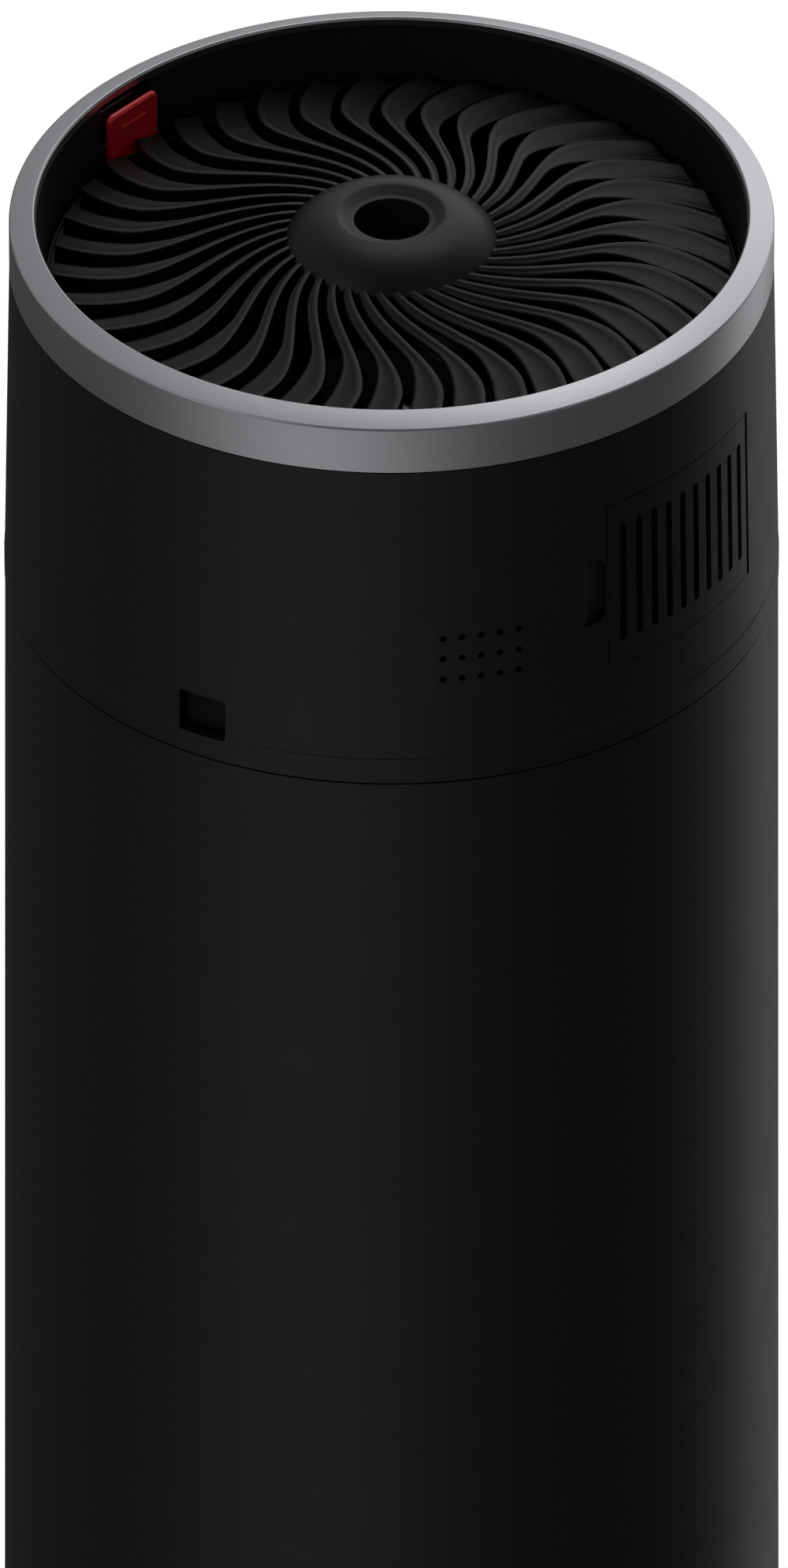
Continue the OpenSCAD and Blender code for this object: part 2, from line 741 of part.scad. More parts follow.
module sensor_cover() color([0.09, 0.09, 0.1])
    difference() {
        rotate([0, 0, cover_phi0 - 90])
            rotate_extrude(angle = cover_phi1 - cover_phi0)
                polygon([
                    [upper_r(cover_z0) - cover_t, cover_z0], [upper_r(cover_z0), cover_z0],
                    [upper_r(cover_z1), cover_z1], [upper_r(cover_z1) - cover_t, cover_z1]]);
        hinge_frame()
            difference() {
                translate([0, -4, -40]) cube([6, 10, 80]);
                translate([0, 0, -41]) cylinder(r = nose_r, h = 82);
            }
        for (i = [0 : cover_slots - 1])
            at_phi(36.6 + 27.4 * i / (cover_slots - 1))
                translate([0, 0, cover_mid_z]) round_slot(2.8, 46, -135, -120);
    }

module cover_pins() color([0.8, 0.8, 0.82])
    for (z = [cover_h / 2 - 5, -cover_h / 2 - 4])
        hinge_frame() translate([0, 0, z]) cylinder(r = pin_r, h = 9);

// ---- Rear door ----

module rear_cover() color([0.09, 0.09, 0.1]) {
    slot_l = 76;
    row_pitch = 86;
    column_pitch = 4.5;
    difference() {
        rotate([0, 0, 90 - door_half])
            rotate_extrude(angle = 2 * door_half)
                polygon([
                    [lower_r(door_z0) - door_t, door_z0], [lower_r(door_z0), door_z0],
                    [lower_r(door_z1), door_z1], [lower_r(door_z1) - door_t, door_z1]]);
        for (i = [-12 : 12], row = [0 : 3])
            at_phi(180 + i * column_pitch)
                translate([0, 0, 112 + row * row_pitch]) round_slot(3.4, slot_l, -145, -120);
        at_phi(180) translate([0, -120, door_z1 + 4]) rotate([90, 0, 0]) cylinder(r = 16, h = 25);
        corner_discs(door_t - magnet_t, magnet_t + cut);
    }
}

module door_magnets() color([0.5, 0.5, 0.52]) corner_discs(door_t - magnet_t, magnet_t);

module prefilter_mesh() color([0.2, 0.2, 0.21])
    rotate([0, 0, 90 - 55.5])
        rotate_extrude(angle = 111)
            polygon([
                [lower_r(68) - door_t - 1.2, 68], [lower_r(68) - door_t - 0.1, 68],
                [lower_r(414) - door_t - 0.1, 414], [lower_r(414) - door_t - 1.2, 414]]);

// ---- Filter ----

module filter_media() color([0.93, 0.93, 0.9])
    translate([0, 0, cap_bottom_z1])
        linear_extrude(cap_top_z0 - cap_bottom_z1)
            difference() {
                polygon([
                    for (i = [0 : 2 * pleats - 1])
                        let (r = (i % 2 == 0) ? filter_r - 2 : filter_r - 13, a = i * 180 / pleats)
                            [r * cos(a), r * sin(a)]]);
                circle(filter_r - 14.5);
            }

module filter_sleeve() color([0.3, 0.3, 0.31])
    tube(filter_r - 1.9, filter_r - 1.1, cap_bottom_z1, cap_top_z0);

module carbon_core() color([0.07, 0.07, 0.07])
    tube(core_r, filter_r - 14.6, cap_bottom_z1, cap_top_z0);

// An end cap: a flat ring with a lip that laps over the sleeve
module end_cap(z0, z1, lip_z) {
    tube(core_r - 2, filter_r, z0, z1);
    tube(filter_r - 1, filter_r, min(z0, lip_z), max(z1, lip_z));
}

module filter_top_cap() color([0.15, 0.15, 0.16]) end_cap(cap_top_z0, gasket_z0, cap_top_z0 - 6);

module filter_bottom_cap() color([0.15, 0.15, 0.16]) {
    end_cap(filter_z0, cap_bottom_z1, cap_bottom_z1 + 6);
    rod(core_r, filter_z0, filter_z0 + 3);
}

module filter_gasket() color([0.1, 0.1, 0.1]) tube(85, 93, gasket_z0, gasket_z1);

module filter_pull_tab() color([0.5, 0.5, 0.52])
    sector(174.4, 185.6, filter_r, filter_r + 0.9, cap_top_z0 - 34, cap_top_z0 + 5);

lower_shell();
upper_shell();
top_ring();
inner_collar();
plinth();
rubber_feet();
deck_posts();
base_deck();
base_screws();
supply_board();
supply_parts();
mains_inlet();
inlet_pins();
rocker_housing();
power_rocker();
inlet_plate();
fan_duct();
duct_screws();
motor_bracket();
motor_screws();
motor_can();
motor_stator();
motor_bearings();
control_board();
board_parts();
board_standoffs();
sensor_bay();
particle_sensor();
sensor_mesh();
window_lens();
remote_receiver();
air_sensor_board();
magnet_catches();
supply_harness();
release_bracket();
impeller();
motor_shaft();
motor_rotor();
impeller_nut();
grille_rim();
grille_hub();
grille_vanes();
release_button();
button_spring();
sensor_cover();
cover_pins();
rear_cover();
prefilter_mesh();
door_magnets();
filter_media();
filter_sleeve();
carbon_core();
filter_top_cap();
filter_bottom_cap();
filter_gasket();
filter_pull_tab();
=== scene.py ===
"""Looks for a round tower air purifier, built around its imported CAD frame. Metres."""

import math

import bmesh
import bpy
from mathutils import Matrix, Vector


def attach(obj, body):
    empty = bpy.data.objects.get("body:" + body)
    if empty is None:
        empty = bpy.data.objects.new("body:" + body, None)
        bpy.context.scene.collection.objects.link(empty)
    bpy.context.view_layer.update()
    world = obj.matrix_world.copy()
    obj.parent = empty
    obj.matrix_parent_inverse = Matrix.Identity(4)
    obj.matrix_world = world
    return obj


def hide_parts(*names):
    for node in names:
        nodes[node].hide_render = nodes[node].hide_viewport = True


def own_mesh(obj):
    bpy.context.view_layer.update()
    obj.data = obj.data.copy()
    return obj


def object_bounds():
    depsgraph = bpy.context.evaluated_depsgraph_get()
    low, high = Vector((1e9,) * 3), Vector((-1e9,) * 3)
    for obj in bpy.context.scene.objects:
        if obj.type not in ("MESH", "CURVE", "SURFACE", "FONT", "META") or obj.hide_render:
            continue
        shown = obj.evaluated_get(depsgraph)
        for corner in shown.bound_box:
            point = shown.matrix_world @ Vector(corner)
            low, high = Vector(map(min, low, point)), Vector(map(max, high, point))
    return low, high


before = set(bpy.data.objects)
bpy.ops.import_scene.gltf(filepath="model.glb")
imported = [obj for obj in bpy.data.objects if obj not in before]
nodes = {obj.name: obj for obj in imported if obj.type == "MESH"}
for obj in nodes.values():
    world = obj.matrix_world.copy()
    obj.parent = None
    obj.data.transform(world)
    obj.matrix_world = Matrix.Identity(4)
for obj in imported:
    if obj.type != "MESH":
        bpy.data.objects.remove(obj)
cad_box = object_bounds()
MM = 0.001


# ---- Sizes shared with the CAD part, in millimetres unless a name says otherwise ----

TOTAL_H = round(cad_box[1].z / MM, 3)
HUB_R = 35.6
FINGER_R = 12.5
HOLE_FLOOR_Z = 609.5
RING_R = 127.4
RING_IN_R = 118.6
RING_Z = TOTAL_H - 20
RING_DROP = 2.6
VANE_COUNT = 40
VANE_SWEEP = 25
VANE_BACK = 7
VANE_T = 1.8
VANE_LAND = 1.8
VANE_SIDE = 8.2
VANE_R0 = HUB_R - 0.8
VANE_R1 = 112.7
VANE_BEND_R = 86
VANE_PHASE = 4.5
RIM_IN_R = 112
RIM_R = 115.5
RIM_Z0 = 605.9
RIM_BAND_Z = 613.6
RIM_TOP_Z = 614
RIM_FLAT_Y = 112.8
TAB_PHI = 229.5
TAB_W = 25
TAB_H = 20
TAB_Z0 = TOTAL_H - 25.6
TAB_FACE = 113.2
FLANGE_Y = 118.6


def smooth(x):
    u = min(max(x, 0), 1)
    return u * u * (3 - 2 * u)


# ---- Node helpers ----


class Shader:
    """A node tree with one Principled shader, and short ways to add nodes to it."""

    def __init__(self, name, color, rough, metal=0.0, **sockets):
        self.mat = bpy.data.materials.new(name)
        self.mat.use_nodes = True
        self.tree = self.mat.node_tree
        self.bsdf = self.tree.nodes["Principled BSDF"]
        self.color = color
        self.rough = rough
        self.bsdf.inputs["Base Color"].default_value = (*color, 1)
        self.bsdf.inputs["Roughness"].default_value = rough
        self.bsdf.inputs["Metallic"].default_value = metal
        for socket, value in sockets.items():
            self.bsdf.inputs[socket.replace("_", " ")].default_value = value
        self.coords = self.add("ShaderNodeTexCoord").outputs["Object"]

    def add(self, kind, inputs=None, **settings):
        node = self.tree.nodes.new(kind)
        for key, value in settings.items():
            setattr(node, key, value)
        for key, value in (inputs or {}).items():
            if isinstance(value, bpy.types.NodeSocket):
                self.tree.links.new(value, node.inputs[key])
            else:
                node.inputs[key].default_value = value
        return node

    def noise(self, size, detail=2.0, rough=0.5, coords=None):
        """Noise whose features are about size metres across."""
        node = self.add(
            "ShaderNodeTexNoise",
            {"Vector": coords or self.coords, "Scale": 1 / size, "Detail": detail, "Roughness": rough},
        )
        return node.outputs["Fac"]

    def cells(self, size):
        """Distance to the nearest of points about size metres apart."""
        node = self.add("ShaderNodeTexVoronoi", {"Vector": self.coords, "Scale": 1 / size})
        return node.outputs["Distance"]

    def math(self, operation, a, b=0.0):
        return self.add("ShaderNodeMath", {0: a, 1: b}, operation=operation).outputs[0]

    def range(self, value, low, high, from_low=0.0, from_high=1.0):
        node = self.add(
            "ShaderNodeMapRange",
            {"Value": value, "From Min": from_low, "From Max": from_high, "To Min": low, "To Max": high},
        )
        return node.outputs["Result"]

    def mix(self, factor, a, b):
        node = self.add("ShaderNodeMix", {"Factor": factor}, data_type="RGBA")
        for name, value in (("A", a), ("B", b)):
            socket = [s for s in node.inputs if s.name == name and s.type == "RGBA"][0]
            if isinstance(value, bpy.types.NodeSocket):
                self.tree.links.new(value, socket)
            else:
                socket.default_value = (*value, 1)
        return [s for s in node.outputs if s.type == "RGBA"][0]

    def set(self, socket, value):
        self.tree.links.new(value, self.bsdf.inputs[socket])

    def tint(self, factor, spread):
        """Colour that drifts round the base colour, darker and lighter by spread."""
        dark = tuple(c * (1 - spread) for c in self.color)
        light = tuple(min(c * (1 + spread), 1) for c in self.color)
        self.set("Base Color", self.mix(factor, dark, light))

    def vary_rough(self, factor, spread):
        self.set("Roughness", self.range(factor, self.rough - spread, self.rough + spread))

    def bump(self, height, depth, strength=1.0):
        """Adds relief of depth metres, on top of any relief added before."""
        node = self.add("ShaderNodeBump", {"Height": height, "Distance": depth, "Strength": strength})
        before = self.bsdf.inputs["Normal"]
        if before.is_linked:
            self.tree.links.new(before.links[0].from_socket, node.inputs["Normal"])
        self.tree.links.new(node.outputs["Normal"], before)

    def cylinder_coords(self, around, out, up):
        """Coordinates that unroll the tower: angle, radius and height, each with its own stretch."""
        xyz = self.add("ShaderNodeSeparateXYZ", {0: self.coords}).outputs
        angle = self.math("ARCTAN2", xyz[1], xyz[0])
        radius = self.math("SQRT", self.math("ADD", self.math("MULTIPLY", xyz[0], xyz[0]),
                                             self.math("MULTIPLY", xyz[1], xyz[1])))
        parts = {
            0: self.math("MULTIPLY", angle, around),
            1: self.math("MULTIPLY", radius, out),
            2: self.math("MULTIPLY", xyz[2], up),
        }
        return self.add("ShaderNodeCombineXYZ", parts).outputs[0]


# ---- Materials ----


def moulded(name, color, rough, grain=0.0004, depth=0.00002, drift=0.08, **sockets):
    """Injection-moulded plastic: fine spark-eroded grain, faint flow marks and uneven sheen."""
    s = Shader(name, color, rough, **sockets)
    s.tint(s.noise(0.045, 3), drift)
    s.vary_rough(s.noise(0.02, 4), 0.04)
    s.bump(s.noise(grain, 2), depth)
    s.bump(s.noise(0.012, 1), 0.00001)
    return s.mat


def satin_ring():
    """Bead-blasted, turned and lacquered aluminium: fine lines run round the ring."""
    s = Shader("satin_aluminium", (0.62, 0.625, 0.66), 0.34, 1.0, Anisotropic=0.35)
    lines = s.noise(1.0, 3, 0.6, s.cylinder_coords(3, 5200, 5200))
    blast = s.noise(0.00035, 2)
    s.tint(s.noise(0.05, 2), 0.03)
    s.vary_rough(lines, 0.05)
    s.bump(lines, 0.000012)
    s.bump(blast, 0.000012)
    return s.mat


def steel(name, color=(0.55, 0.55, 0.57), rough=0.32):
    """Zinc-plated or turned steel with fine scratches and cloudy plating."""
    s = Shader(name, color, rough, 1.0)
    scratches = s.noise(1.0, 4, 0.6, s.cylinder_coords(40, 2500, 500))
    s.tint(s.noise(0.006, 4), 0.12)
    s.vary_rough(scratches, 0.1)
    s.bump(scratches, 0.00001)
    return s.mat


def rubber(name, color=(0.02, 0.02, 0.02)):
    s = Shader(name, color, 0.82)
    s.tint(s.noise(0.01, 4), 0.2)
    s.vary_rough(s.noise(0.004, 3), 0.08)
    s.bump(s.noise(0.0008, 3), 0.00005)
    return s.mat


def foam(name, color=(0.03, 0.03, 0.032)):
    s = Shader(name, color, 0.95)
    pores = s.cells(0.0009)
    s.tint(pores, 0.4)
    s.bump(pores, 0.0002)
    return s.mat


def circuit_board():
    """Green solder mask over copper tracks, with tinned pads."""
    s = Shader("solder_mask", (0.008, 0.10, 0.035), 0.28, Coat_Weight=0.4)
    xyz = s.add("ShaderNodeSeparateXYZ", {0: s.coords}).outputs
    tracks = s.add(
        "ShaderNodeTexBrick",
        {"Vector": s.coords, "Scale": 90.0, "Mortar Size": 0.012, "Color1": (0, 0, 0, 1),
         "Color2": (0.15, 0.15, 0.15, 1), "Mortar": (1, 1, 1, 1)},
    ).outputs["Fac"]
    pads = s.math("LESS_THAN", s.cells(0.0042), 0.2)
    weave = s.math("MULTIPLY", s.math("SINE", s.math("MULTIPLY", xyz[0], 9000)),
                   s.math("SINE", s.math("MULTIPLY", xyz[2], 9000)))
    masked = s.mix(tracks, s.color, (0.02, 0.19, 0.07))
    s.set("Base Color", s.mix(pads, masked, (0.6, 0.58, 0.5)))
    s.vary_rough(s.noise(0.004, 3), 0.06)
    s.bump(tracks, 0.00004)
    s.bump(weave, 0.000008)
    return s.mat


def copper_windings():
    s = Shader("enamelled_copper", (0.56, 0.20, 0.07), 0.28, 1.0)
    turns = s.add(
        "ShaderNodeTexWave",
        {"Vector": s.coords, "Scale": 330.0, "Distortion": 0.6, "Detail": 1.0},
        bands_direction="Z",
    ).outputs["Fac"]
    s.tint(turns, 0.35)
    s.bump(turns, 0.0002)
    return s.mat


def woven(name, color, pitch, depth, rough=0.85):
    """A plain weave that follows the tower's curve: threads cross every pitch metres."""
    s = Shader(name, color, rough, Sheen_Weight=0.3)
    turns = 2 * math.pi / pitch
    wrapped = s.cylinder_coords(0.11 * turns, turns, turns)
    xyz = s.add("ShaderNodeSeparateXYZ", {0: wrapped}).outputs
    weft = s.math("SINE", xyz[0])
    warp = s.math("SINE", xyz[2])
    threads = s.math("MULTIPLY", weft, warp)
    holes = s.range(threads, 0, 1, -1, 1)
    s.tint(s.math("MULTIPLY", holes, s.range(s.noise(0.01, 3), 0.7, 1)), 0.6)
    s.bump(holes, depth)
    return s.mat


def filter_paper():
    """Glass-fibre paper: matted fibres, faint dust shading."""
    s = Shader("pleated_paper", (0.80, 0.79, 0.75), 0.92)
    fibres = s.noise(0.0012, 6, 0.7)
    s.tint(s.math("MULTIPLY", fibres, s.range(s.noise(0.03, 2), 0.7, 1)), 0.12)
    s.bump(fibres, 0.0002)
    return s.mat


def carbon_granules():
    s = Shader("carbon_granules", (0.012, 0.012, 0.012), 0.65)
    grains = s.cells(0.0025)
    s.tint(grains, 0.5)
    s.bump(grains, 0.0008)
    return s.mat


def dark_lens():
    """Infrared-clear gloss plastic with faint smudges."""
    s = Shader("dark_lens", (0.001, 0.001, 0.0012), 0.3, Specular_IOR_Level=0.15)
    smudge = s.noise(0.006, 4)
    s.vary_rough(smudge, 0.05)
    s.tint(smudge, 0.3)
    s.bump(s.noise(0.004, 1), 0.000004)
    return s.mat


CASING = moulded("casing_plastic", (0.0062, 0.0062, 0.0068), 0.46, drift=0.1)
COLLAR = moulded("collar_plastic", (0.0065, 0.0065, 0.0068), 0.48)
GRILLE = moulded("grille_plastic", (0.0042, 0.0042, 0.0043), 0.42, depth=0.000012,
                 Specular_IOR_Level=0.3)
HUB = moulded("hub_plastic", (0.0060, 0.0060, 0.0058), 0.45, depth=0.000012, Specular_IOR_Level=0.4)
# Painted shade: the duct, motor bracket and impeller are darker than any other plastic, so what shows through
# the outlet gaps reads as black shade.
PAINTED_SHADE_DUCT = moulded("duct_plastic_painted_shade", (0.0022, 0.0022, 0.0024), 0.7, grain=0.0007, depth=0.00004,
               Specular_IOR_Level=0.15)
INNER = moulded("inner_plastic", (0.010, 0.010, 0.011), 0.6, grain=0.0007, depth=0.00004)
GREY_CASE = moulded("sensor_case_plastic", (0.12, 0.125, 0.13), 0.5)
CHIP = moulded("chip_epoxy", (0.012, 0.012, 0.013), 0.5, grain=0.0003)
RED = moulded("release_red_plastic", (0.86, 0.014, 0.028), 0.28, depth=0.000008, Coat_Weight=0.6)
SHEATH = moulded("cable_sheath", (0.60, 0.60, 0.58), 0.45, grain=0.001, depth=0.00003)
RING = satin_ring()
STEEL = steel("plated_steel")
BLACK_STEEL = steel("black_oxide_steel", (0.004, 0.004, 0.0043), 0.5)
PALE_STEEL = steel("turned_steel", (0.68, 0.68, 0.70), 0.24)
RUBBER = rubber("foot_rubber")
FOAM = foam("gasket_foam")
BOARD = circuit_board()
COPPER = copper_windings()
LENS = dark_lens()
PAPER = filter_paper()
CARBON = carbon_granules()
SCREEN = woven("prefilter_weave", (0.05, 0.05, 0.053), 0.0016, 0.0003)
SLEEVE = woven("sleeve_weave", (0.35, 0.35, 0.36), 0.0024, 0.0004)
RIBBON = woven("ribbon_weave", (0.16, 0.16, 0.18), 0.0012, 0.0002)

FINISHES = {
    CASING: ["lower_shell", "upper_shell", "sensor_cover", "rear_cover"],
    COLLAR: ["inner_collar", "mains_inlet", "rocker_housing", "power_rocker"],
    GRILLE: ["grille_rim", "grille_hub", "grille_vanes"],
    PAINTED_SHADE_DUCT: ["fan_duct", "motor_bracket", "impeller"],
    INNER: ["plinth", "deck_posts", "base_deck", "inlet_plate", "sensor_bay", "filter_top_cap",
            "filter_bottom_cap"],
    GREY_CASE: ["particle_sensor"],
    CHIP: ["supply_parts", "board_parts"],
    RED: ["release_button"],
    SHEATH: ["supply_harness"],
    RING: ["top_ring"],
    BLACK_STEEL: ["duct_screws", "motor_screws", "motor_can"],
    STEEL: ["base_screws", "magnet_catches",
            "door_magnets", "release_bracket", "button_spring", "impeller_nut"],
    PALE_STEEL: ["motor_bearings", "motor_shaft", "motor_rotor", "cover_pins", "inlet_pins",
                 "board_standoffs"],
    RUBBER: ["rubber_feet"],
    FOAM: ["filter_gasket"],
    BOARD: ["supply_board", "control_board", "remote_receiver", "air_sensor_board"],
    COPPER: ["motor_stator"],
    LENS: ["window_lens"],
    PAPER: ["filter_media"],
    CARBON: ["carbon_core"],
    SCREEN: ["prefilter_mesh", "sensor_mesh"],
    SLEEVE: ["filter_sleeve"],
    RIBBON: ["filter_pull_tab"],
}


def finish_nodes():
    """Gives every CAD node its material."""
    for material, names in FINISHES.items():
        for name in names:
            mesh = nodes[name].data
            mesh.materials.clear()
            mesh.materials.append(material)


# ---- Mesh helpers ----


def add_piece(name, mesh, material, body, replaced=()):
    piece = bpy.data.objects.new(name, mesh)
    bpy.context.scene.collection.objects.link(piece)
    mesh.materials.append(material)
    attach(piece, body)
    if replaced:
        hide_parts(*replaced)
    return piece


def mesh_from(name, verts, faces, sharp=30):
    """A mesh from points in millimetres, smooth except where faces meet at more than sharp degrees."""
    mesh = bpy.data.meshes.new(name)
    mesh.from_pydata([tuple(c * MM for c in v) for v in verts], [], faces)
    shape = bmesh.new()
    shape.from_mesh(mesh)
    bmesh.ops.recalc_face_normals(shape, faces=shape.faces)
    shape.to_mesh(mesh)
    shape.free()
    mesh.shade_smooth()
    mesh.set_sharp_from_angle(angle=math.radians(sharp))
    return mesh


def lathe(name, outline, segments=240, sharp=30):
    """Turns a closed outline of (radius, height) points round the tower's axis."""
    verts = []
    rings = []
    for r, z in outline:
        count = segments if r > 0 else 1
        start = len(verts)
        rings.append([start + i % count for i in range(segments)])
        for i in range(count):
            a = 2 * math.pi * i / segments
            verts.append((r * math.cos(a), r * math.sin(a), z))
    faces = []
    for a, b in zip(rings, rings[1:] + rings[:1]):
        for i in range(segments):
            j = (i + 1) % segments
            corners = list(dict.fromkeys((a[i], a[j], b[j], b[i])))
            if len(corners) > 2:
                faces.append(corners)
    return mesh_from(name, verts, faces, sharp)


def loft(loops):
    """Faces that join equal loops of points in turn, with an end face on the first and last."""
    n = len(loops[0])
    verts = [point for loop in loops for point in loop]
    faces = []
    for i in range(len(loops) - 1):
        for j in range(n):
            a = i * n + j
            b = i * n + (j + 1) % n
            faces.append((a, b, b + n, a + n))
    faces.append(tuple(range(n)))
    faces.append(tuple(range(len(verts) - n, len(verts))))
    return verts, faces


def arc(x, z, r, start, end, steps):
    """Points on an arc, from start to end degrees."""
    points = []
    for i in range(steps + 1):
        a = math.radians(start + (end - start) * i / steps)
        points.append((x + r * math.cos(a), z + r * math.sin(a)))
    return points


def rounded(w, h, r, steps=6):
    """Outline of a rectangle with round corners, centred on zero."""
    outline = []
    for sx, sz, start in ((1, 1, 0), (-1, 1, 90), (-1, -1, 180), (1, -1, 270)):
        outline += arc(sx * (w / 2 - r), sz * (h / 2 - r), r, start, start + 90, steps)
    return outline


def at_phi(phi, x, y, z):
    """A point given in a frame whose -Y points outwards at azimuth phi."""
    a = math.radians(phi)
    return (x * math.cos(a) - y * math.sin(a), x * math.sin(a) + y * math.cos(a), z)


# ---- Outlet grille ----


def vane_angle(r):
    """How far a vane has turned round the axis at radius r: it sweeps forward, then bends back a little."""
    before_bend = min(max((r - VANE_R0) / (VANE_BEND_R - VANE_R0), 0), 1)
    past_bend = min(max((r - VANE_BEND_R) / (VANE_R1 - VANE_BEND_R), 0), 1)
    return VANE_SWEEP * math.sin(math.pi / 2 * before_bend) - VANE_BACK * past_bend ** 1.5


def vane_top(r):
    return TOTAL_H - 9.5 - 10 * ((r - VANE_R0) / (VANE_R1 - VANE_R0)) ** 1.5


def vane_section(r):
    """Outline at radius r as (round the circle, up): a rounded upper edge, a flat land, a slightly
    hollow face that falls away from it, a rounded lower edge and a steep side."""
    width = 3.2 + 1.2 * smooth((r - 35) / 15) + 7.2 * smooth((r - 66) / 28)
    slope = math.tan(math.radians(30 - 16 * smooth((r - 35) / 45)))
    face = width - VANE_LAND
    hollow = 0.05 * face
    low = -face * slope
    edge_r = 0.45
    foot = 0.5
    steps = 8
    outline = arc(-edge_r, -edge_r, edge_r, 0, 90, 4)
    for i in range(steps + 1):
        u = i / steps
        fall = low * u * (face - foot) / face
        outline.append((-VANE_LAND - (face - foot) * u, fall - hollow * 4 * u * (1 - u)))
    outline += [(-width + 0.15, low - 0.15), (-width, low - 0.5), (-width, low - VANE_T + 0.4),
                (-width + 0.4, low - VANE_T), (0, -VANE_SIDE)]
    return outline


def build_vanes():
    stations = 44
    verts = []
    faces = []
    for k in range(VANE_COUNT):
        start = len(verts)
        turn = VANE_PHASE + k * 360 / VANE_COUNT
        loops = []
        for i in range(stations + 1):
            r = VANE_R0 + (VANE_R1 - VANE_R0) * i / stations
            loop = []
            for t, up in vane_section(r):
                a = math.radians(vane_angle(r) + turn) + t / r
                loop.append((r * math.cos(a), r * math.sin(a), vane_top(r) + up))
            loops.append(loop)
        one_verts, one_faces = loft(loops)
        verts += one_verts
        faces += [tuple(start + v for v in f) for f in one_faces]
    mesh = mesh_from("outlet_vanes", verts, faces, 50)
    add_piece("outlet_vanes", mesh, GRILLE, "outlet_grille", ["grille_vanes"])


def build_hub():
    """A dome with a finger hole, and a ledge and a countersink round the hole's mouth."""
    wall = 2.2
    dome_r = 23
    dome_at = HUB_R - 19.3
    dome_z = TOTAL_H - 23.7
    ledge_z = TOTAL_H - 3.2
    bottom_z = HOLE_FLOOR_Z - 1.5
    outline = [(0, HOLE_FLOOR_Z), (FINGER_R - 1, HOLE_FLOOR_Z), (FINGER_R - 0.3, HOLE_FLOOR_Z + 0.3),
               (FINGER_R, HOLE_FLOOR_Z + 1), (FINGER_R, ledge_z - 0.4), (FINGER_R + 0.12, ledge_z - 0.12),
               (FINGER_R + 0.4, ledge_z), (FINGER_R + 1.9, ledge_z), (FINGER_R + 2.1, ledge_z + 0.05),
               (dome_at + 1.1, TOTAL_H - 1.0)]
    outline += arc(dome_at, dome_z, dome_r, 85, 33, 30)
    outline += [(HUB_R, TOTAL_H - 12), (HUB_R, bottom_z), (HUB_R - wall, bottom_z),
                (HUB_R - wall, TOTAL_H - 14), (FINGER_R + 2.5, TOTAL_H - 7),
                (FINGER_R + 2.5, HOLE_FLOOR_Z - 2.5), (0, HOLE_FLOOR_Z - 2.5)]
    mesh = lathe("hub_dome", outline)
    add_piece("hub_dome", mesh, HUB, "outlet_grille", ["grille_hub"])


def build_rim():
    """The grille's outer band: a low lip on its outer edge, and a flat that passes the release tab."""
    lip = RIM_R - 1.3
    soft = 0.3
    corner = 0.4
    outline = [(RIM_IN_R, RIM_Z0), (RIM_R, RIM_Z0), (RIM_R, RIM_TOP_Z - soft), (RIM_R - soft, RIM_TOP_Z),
               (lip + soft, RIM_TOP_Z), (lip, RIM_TOP_Z - soft), (lip, RIM_BAND_Z),
               (RIM_IN_R + corner, RIM_BAND_Z), (RIM_IN_R, RIM_BAND_Z - corner)]
    mesh = lathe("grille_band", outline)
    outward = Vector(at_phi(TAB_PHI, 0, -1, 0))
    for vertex in mesh.vertices:
        past_flat = vertex.co.dot(outward) - RIM_FLAT_Y * MM
        if past_flat > 0:
            vertex.co -= past_flat * outward
    add_piece("grille_band", mesh, GRILLE, "outlet_grille", ["grille_rim"])


def build_ring():
    """The metal ring: its top face slopes down outwards to a soft corner, with a fine inner chamfer."""
    wall = 2.2
    corner_r = 0.9
    outline = [(RING_IN_R, TOTAL_H - 3), (RING_IN_R, TOTAL_H - 0.8), (RING_IN_R + 0.1, TOTAL_H - 0.6),
               (RING_IN_R + 0.6, TOTAL_H - 0.08), (RING_IN_R + 0.8, TOTAL_H - 0.01)]
    outline += arc(RING_R - corner_r, TOTAL_H - RING_DROP - corner_r, corner_r, 72, 0, 5)
    outline += [(RING_R, RING_Z + 0.45), (RING_R - 0.3, RING_Z + 0.15), (RING_R - wall, RING_Z + 0.15),
                (RING_R - wall, TOTAL_H - 4.6), (RING_IN_R + wall, TOTAL_H - 3)]
    mesh = lathe("metal_ring", outline, 360, 25)
    add_piece("metal_ring", mesh, RING, "housing", ["top_ring"])


# ---- Release tab ----


def tab_solid(w, h, r, up, depths):
    """A plate on the tab's frame: (inset, distance from the axis) pairs make its edges."""
    loops = []
    for inset, y in depths:
        loop = rounded(w - 2 * inset, h - 2 * inset, max(r - inset, 0.25))
        loops.append([at_phi(TAB_PHI, x, -y, up + z) for x, z in loop])
    return loft(loops)


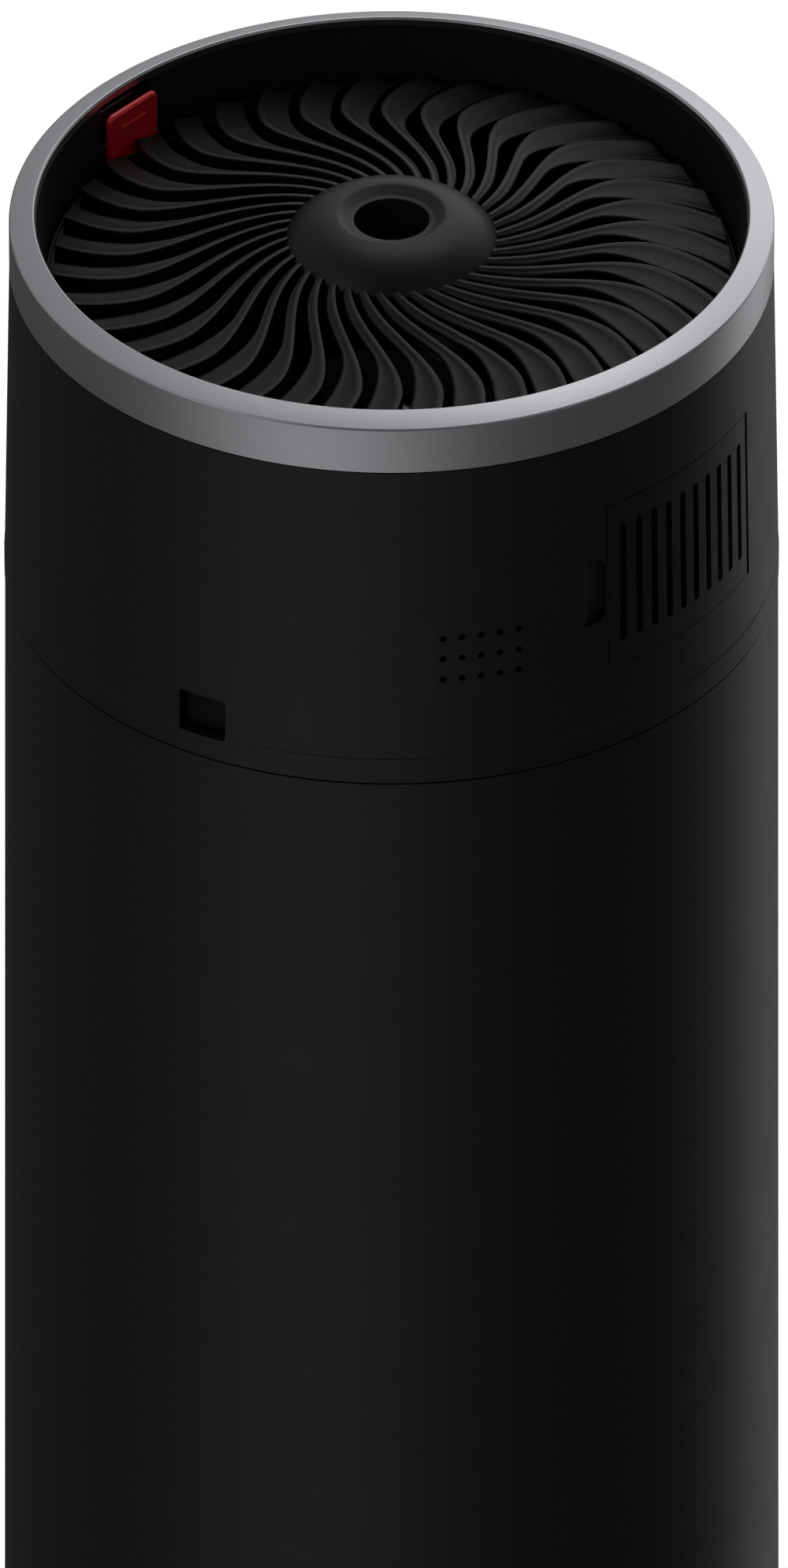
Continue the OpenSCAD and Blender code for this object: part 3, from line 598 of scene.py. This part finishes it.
def build_tab():
    """The red tab: a thin face with a raised edge and bar, on a neck that ends in a flange."""
    middle = TAB_Z0 + TAB_H / 2
    neck_inset = 4
    solids = [
        tab_solid(TAB_W, TAB_H, 3, middle,
                  [(neck_inset, FLANGE_Y), (neck_inset, TAB_FACE + 2.6), (0.6, TAB_FACE + 2.4),
                   (0.12, TAB_FACE + 2.1), (0, TAB_FACE + 1.6), (0.12, TAB_FACE + 1.0), (0.5, TAB_FACE + 0.5),
                   (1.15, TAB_FACE + 0.2), (1.5, TAB_FACE + 0.3), (1.75, TAB_FACE + 0.45),
                   (2.2, TAB_FACE + 0.45)]),
        tab_solid(13, 1.9, 0.9, middle + 3.2,
                  [(0, TAB_FACE + 0.6), (0, TAB_FACE + 0.3), (0.25, TAB_FACE + 0.05), (0.6, TAB_FACE)]),
        tab_solid(30.4, 8.5, 1, TAB_Z0 + 1.45,
                  [(0.2, FLANGE_Y + 1), (0, FLANGE_Y + 0.8), (0, FLANGE_Y + 0.2), (0.2, FLANGE_Y)]),
    ]
    verts = []
    faces = []
    for solid_verts, solid_faces in solids:
        start = len(verts)
        verts += solid_verts
        faces += [tuple(start + v for v in f) for f in solid_faces]
    mesh = mesh_from("release_tab_moulding", verts, faces, 40)
    add_piece("release_tab_moulding", mesh, RED, "release_tab", ["release_button"])


def build_tab_spring():
    """A bowed leaf between the tab and its bracket."""
    bow = 24
    half = 28.5
    half_t = 0.15
    tall = 5
    loops = []
    for i in range(33):
        a = math.radians(90 - half + 2 * half * i / 32)
        loop = []
        for r, z in ((bow - half_t, 0), (bow + half_t, 0), (bow + half_t, tall), (bow - half_t, tall)):
            y = r * math.sin(a) - FLANGE_Y - 1.2 - bow
            loop.append(at_phi(TAB_PHI, r * math.cos(a), y, TAB_Z0 + z))
        loops.append(loop)
    mesh = mesh_from("tab_leaf_spring", *loft(loops))
    piece = add_piece("tab_leaf_spring", mesh, STEEL, "housing", ["button_spring"])
    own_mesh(piece)


# ---- Stage, lights and camera ----


def build_stage():
    """A plain pale floor that leaves the object's own light alone."""
    mesh = bpy.data.meshes.new("floor")
    reach = 12.0
    mesh.from_pydata([(-reach, -reach, 0), (reach, -reach, 0), (reach, reach, 0), (-reach, reach, 0)],
                     [], [(0, 1, 2, 3)])
    floor = bpy.data.objects.new("floor", mesh)
    bpy.context.scene.collection.objects.link(floor)
    s = Shader("floor_paper", (0.9, 0.9, 0.9), 0.9)
    s.tint(s.noise(0.4, 2), 0.01)
    s.bsdf.inputs["Emission Color"].default_value = (1, 1, 1, 1)
    s.bsdf.inputs["Emission Strength"].default_value = 0.8
    mesh.materials.append(s.mat)
    floor.visible_glossy = False
    floor.visible_diffuse = False


def build_world():
    """A white backdrop, and a dim studio with broad soft boxes that only lights the object."""
    base = 0.055
    boxes = [
        # direction towards the box, how narrow it is, how bright
        ((0.34, 0.88, 0.34), 6, 1.0),
        ((-0.35, -0.80, -0.48), 7, 0.38),
        ((0.62, 0.66, -0.44), 26, 0.6),
        ((-0.10, 0.35, 0.93), 6, 0.22),
        ((-0.80, 0.30, 0.30), 6, 0.25),
        ((0.60, -0.62, 0.50), 8, 0.12),
    ]
    world = bpy.data.worlds.new("studio")
    world.use_nodes = True
    tree = world.node_tree
    tree.nodes.clear()

    def node(kind, inputs=None, **settings):
        made = tree.nodes.new(kind)
        for key, value in settings.items():
            setattr(made, key, value)
        for key, value in (inputs or {}).items():
            if isinstance(value, bpy.types.NodeSocket):
                tree.links.new(value, made.inputs[key])
            else:
                made.inputs[key].default_value = value
        return made

    direction = node("ShaderNodeTexCoord").outputs["Generated"]
    total = node("ShaderNodeMath", {0: base, 1: 0.0}, operation="ADD").outputs[0]
    for towards, narrow, bright in boxes:
        unit = Vector(towards).normalized()
        dot = node("ShaderNodeVectorMath", {0: direction, 1: unit}, operation="DOT_PRODUCT")
        facing = node("ShaderNodeMath", {0: dot.outputs["Value"], 1: 0.0}, operation="MAXIMUM").outputs[0]
        glow = node("ShaderNodeMath", {0: facing, 1: narrow}, operation="POWER").outputs[0]
        total = node("ShaderNodeMath", {0: glow, 1: bright, 2: total}, operation="MULTIPLY_ADD").outputs[0]
    studio = node("ShaderNodeBackground", {"Color": (1, 1, 1, 1), "Strength": total}).outputs[0]
    backdrop = node("ShaderNodeBackground", {"Color": (1, 1, 1, 1), "Strength": 1.0}).outputs[0]
    seen = node("ShaderNodeLightPath").outputs["Is Camera Ray"]
    both = node("ShaderNodeMixShader", {0: seen, 1: studio, 2: backdrop}).outputs[0]
    node("ShaderNodeOutputWorld", {"Surface": both})
    bpy.context.scene.world = world
    bpy.context.scene.view_settings.view_transform = "Standard"


def add_light(name, place, aim, size, power):
    light = bpy.data.lights.new(name, "AREA")
    light.shape = "RECTANGLE"
    light.size, light.size_y = size
    light.energy = power
    lamp = bpy.data.objects.new(name, light)
    bpy.context.scene.collection.objects.link(lamp)
    lamp.location = place
    lamp.rotation_euler = (Vector(aim) - Vector(place)).to_track_quat("-Z", "Y").to_euler()


def build_camera():
    """A long lens that looks at the ring from 33.2 degrees above level."""
    lens = 600.0
    sensor = 36.0
    elevation = math.radians(33.2)
    ring = Vector((0.0008, 0, 0.640))
    seen_height = 0.5215
    ring_above_centre = 0.1906
    distance = seen_height / sensor * lens
    data = bpy.data.cameras.new("camera")
    data.lens = lens
    data.sensor_width = sensor
    data.clip_end = 60
    camera = bpy.data.objects.new("camera", data)
    bpy.context.scene.collection.objects.link(camera)
    camera.location = ring + distance * Vector((0, -math.cos(elevation), math.sin(elevation)))
    tilt = elevation + math.atan(ring_above_centre / distance)
    camera.rotation_euler = (math.pi / 2 - tilt, 0, 0)
    bpy.context.scene.camera = camera


build_camera()
finish_nodes()
build_vanes()
build_hub()
build_rim()
build_ring()
build_tab()
build_tab_spring()
build_stage()
build_world()
add_light("soft_top", (0.2, 0.9, 2.4), (0, 0, 0.6), (1.4, 0.8), 4)
add_light("soft_left", (-1.8, -1.4, 2.0), (0, 0, 0.5), (1.2, 1.2), 4)
